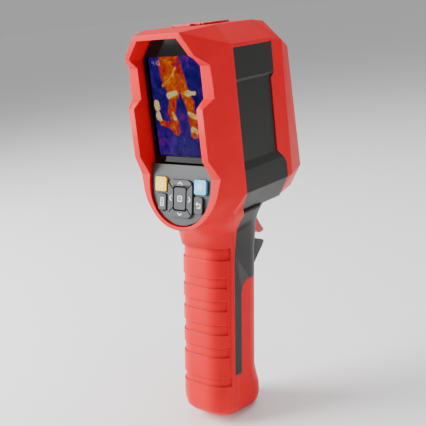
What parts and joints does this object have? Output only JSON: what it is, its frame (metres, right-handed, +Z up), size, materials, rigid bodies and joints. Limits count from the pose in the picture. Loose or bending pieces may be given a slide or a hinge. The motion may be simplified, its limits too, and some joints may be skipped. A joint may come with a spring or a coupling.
{
  "type": "thermal imaging camera",
  "caption": "Pistol-grip thermal imaging camera with a recessed portrait display, a keypad, a trigger, a lens side with thermal, visible and lamp optics, and a tripod socket",
  "frame": {"origin": "Centre of the tripod socket's mouth in the base of the grip", "axes": "+Z up through the head, +Y forward to the target, +X to the right as the user sees the display"},
  "size_m": [0.0754, 0.0863, 0.2388],
  "materials": {
    "red_cover": "fine-grained satin",
    "dark_frame": "fine-grained matte",
    "side_cover": "fine-grained matte",
    "front_plate": "semi-gloss",
    "window_pane": "polished with a black printed border",
    "gasket_foam": "open-cell foam",
    "display": "thin-film panel in a sheet frame",
    "flex_tail": "polyimide film",
    "keypad_plate": "fine-grained matte",
    "key_grey": "silk-matte",
    "key_yellow": "silk-matte",
    "key_blue": "silk-matte",
    "key_mat": "matte",
    "circuit_board": "solder-masked laminate",
    "tinned_steel": "tinned",
    "zinc_screw": "zinc plated",
    "port_steel": "satin",
    "card_case": "semi-gloss",
    "cover_rubber": "matte",
    "core_case": "bead blasted",
    "barrel_black": "black anodised",
    "ring_grey": "anodised",
    "germanium": "coated, mirror-like",
    "camera_black": "matte",
    "camera_glass": "polished",
    "led_ceramic": "matte",
    "lamp_clear": "polished",
    "trigger_red": "satin",
    "pin_steel": "ground",
    "spring_steel": "drawn wire",
    "switch_black": "matte",
    "cell_sleeve": "shrink sleeve",
    "holder_black": "matte",
    "contact_gold": "gold plated",
    "insert_brass": "turned"
  },
  "bodies": {
    "body": {"rear_shell": "red_cover", "front_grip": "red_cover", "frame_left": "dark_frame", "frame_right": "dark_frame", "side_panel_left": "side_cover", "side_panel_right": "side_cover", "top_band": "red_cover", "front_rim": "red_cover", "front_panel": "front_plate", "display_window": "window_pane", "display_gasket": "gasket_foam", "display_module": "display", "display_ribbon": "flex_tail", "keypad_bezel": "keypad_plate", "key_mat": "key_mat", "key_board": "circuit_board", "main_board": "circuit_board", "shield_can": "tinned_steel", "board_screws": "zinc_screw", "usb_port": "port_steel", "card_slot": "port_steel", "memory_card": "card_case", "cover_anchor": "cover_rubber", "thermal_core": "core_case", "lens_barrel": "barrel_black", "lens_ring": "ring_grey", "germanium_lens": "germanium", "camera_module": "camera_black", "camera_window": "camera_glass", "lamp_led": "led_ceramic", "lamp_lens": "lamp_clear", "trigger_pin": "pin_steel", "trigger_spring": "spring_steel", "trigger_switch": "switch_black", "battery_cell": "cell_sleeve", "battery_holder": "holder_black", "battery_contacts": "contact_gold", "tripod_insert": "insert_brass", "case_screws": "zinc_screw"},
    "trigger": {"trigger": "trigger_red"},
    "port_cover": {"port_cover": "cover_rubber"},
    "key_yellow": {"key_yellow": "key_yellow"},
    "key_blue": {"key_blue": "key_blue"},
    "key_menu": {"key_menu": "key_grey"},
    "key_back": {"key_back": "key_grey"},
    "key_set": {"key_set": "key_grey"},
    "key_up": {"key_up": "key_grey"},
    "key_down": {"key_down": "key_grey"},
    "key_left": {"key_left": "key_grey"},
    "key_right": {"key_right": "key_grey"}
  },
  "joints": [
    {"name": "trigger_pull", "type": "hinge", "parent": "body", "child": "trigger", "pos_m": [0, 0.03803, 0.1205], "axis": [-1, 0, 0], "range_deg": [0, 8], "stiffness_Nm_per_rad": 0.15, "springref_deg": -5.73},
    {"name": "cover_lift", "type": "hinge", "parent": "body", "child": "port_cover", "pos_m": [0, 0.00845, 0.23545], "axis": [1, 0, 0], "range_deg": [0, 100], "stiffness_Nm_per_rad": 0.01, "springref_deg": -5.73},
    {"name": "press_yellow", "type": "slide", "parent": "body", "child": "key_yellow", "axis": [0, 0.9796, -0.2011], "range_m": [0, 0.0009], "stiffness_N_per_m": 600, "springref_m": -0.001},
    {"name": "press_blue", "type": "slide", "parent": "body", "child": "key_blue", "axis": [0, 0.9796, -0.2011], "range_m": [0, 0.0009], "stiffness_N_per_m": 600, "springref_m": -0.001},
    {"name": "press_menu", "type": "slide", "parent": "body", "child": "key_menu", "axis": [0, 0.9796, -0.2011], "range_m": [0, 0.0009], "stiffness_N_per_m": 600, "springref_m": -0.001},
    {"name": "press_back", "type": "slide", "parent": "body", "child": "key_back", "axis": [0, 0.9796, -0.2011], "range_m": [0, 0.0009], "stiffness_N_per_m": 600, "springref_m": -0.001},
    {"name": "press_set", "type": "slide", "parent": "body", "child": "key_set", "axis": [0, 0.9796, -0.2011], "range_m": [0, 0.0009], "stiffness_N_per_m": 600, "springref_m": -0.001},
    {"name": "press_up", "type": "slide", "parent": "body", "child": "key_up", "axis": [0, 0.9796, -0.2011], "range_m": [0, 0.0009], "stiffness_N_per_m": 600, "springref_m": -0.001},
    {"name": "press_down", "type": "slide", "parent": "body", "child": "key_down", "axis": [0, 0.9796, -0.2011], "range_m": [0, 0.0009], "stiffness_N_per_m": 600, "springref_m": -0.001},
    {"name": "press_left", "type": "slide", "parent": "body", "child": "key_left", "axis": [0, 0.9796, -0.2011], "range_m": [0, 0.0009], "stiffness_N_per_m": 600, "springref_m": -0.001},
    {"name": "press_right", "type": "slide", "parent": "body", "child": "key_right", "axis": [0, 0.9796, -0.2011], "range_m": [0, 0.0009], "stiffness_N_per_m": 600, "springref_m": -0.001}
  ]
}
